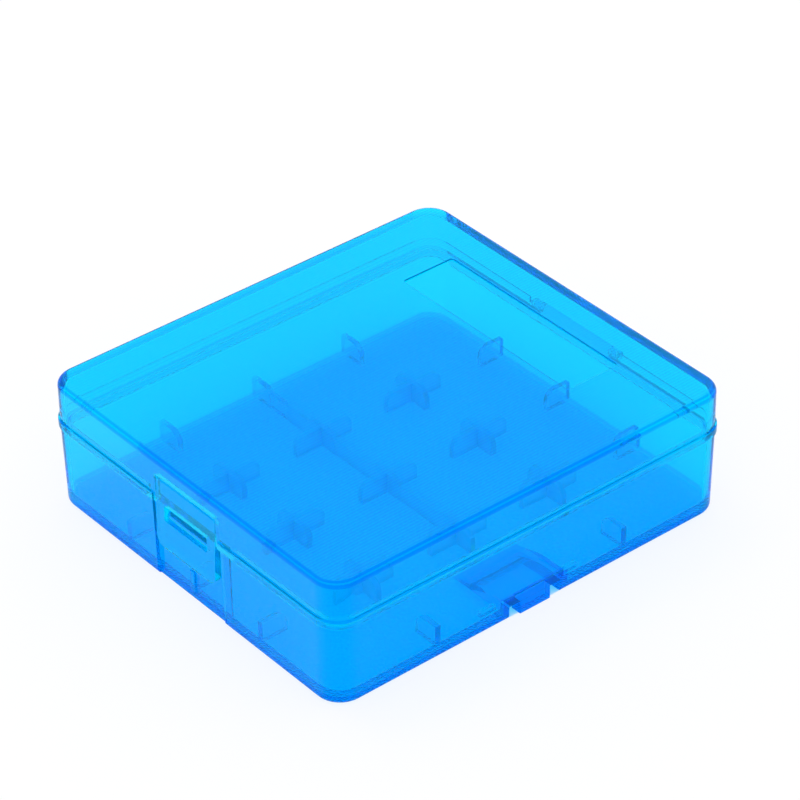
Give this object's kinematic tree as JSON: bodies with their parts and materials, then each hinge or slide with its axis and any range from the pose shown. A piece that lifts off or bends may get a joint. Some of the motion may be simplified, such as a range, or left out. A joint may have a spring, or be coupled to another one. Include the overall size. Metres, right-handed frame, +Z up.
{
  "type": "battery case",
  "caption": "Low translucent blue box for loose round cells, with a hinged lid, a drop latch on the front wall and a floor of low cross posts that keep the cells apart.",
  "frame": {"origin": "middle of the underside, on the surface that the case stands on", "axes": "+Z up through the lid, +Y towards the hinge at the rear, +X towards the wall with the cord eye; the latch is at -Y"},
  "size_m": [0.0726, 0.0815, 0.0232],
  "materials": {
    "base_plastic": "translucent blue polypropylene, frosted floor",
    "lid_plastic": "translucent blue polypropylene, finely frosted top, polished label recess",
    "latch_plastic": "translucent blue polypropylene, polished"
  },
  "bodies": {
    "base": {"base_tray": "base_plastic"},
    "lid": {"lid": "lid_plastic"},
    "latch": {"latch": "latch_plastic"}
  },
  "joints": [
    {"name": "lid_hinge", "type": "hinge", "parent": "base", "child": "lid", "pos_m": [0, 0.04065, 0.0148], "axis": [-1, 0, 0], "range_deg": [0, 180]},
    {"name": "latch_hinge", "type": "hinge", "parent": "lid", "child": "latch", "pos_m": [0, -0.03905, 0.0193], "axis": [-1, 0, 0], "range_deg": [0, 90]}
  ]
}
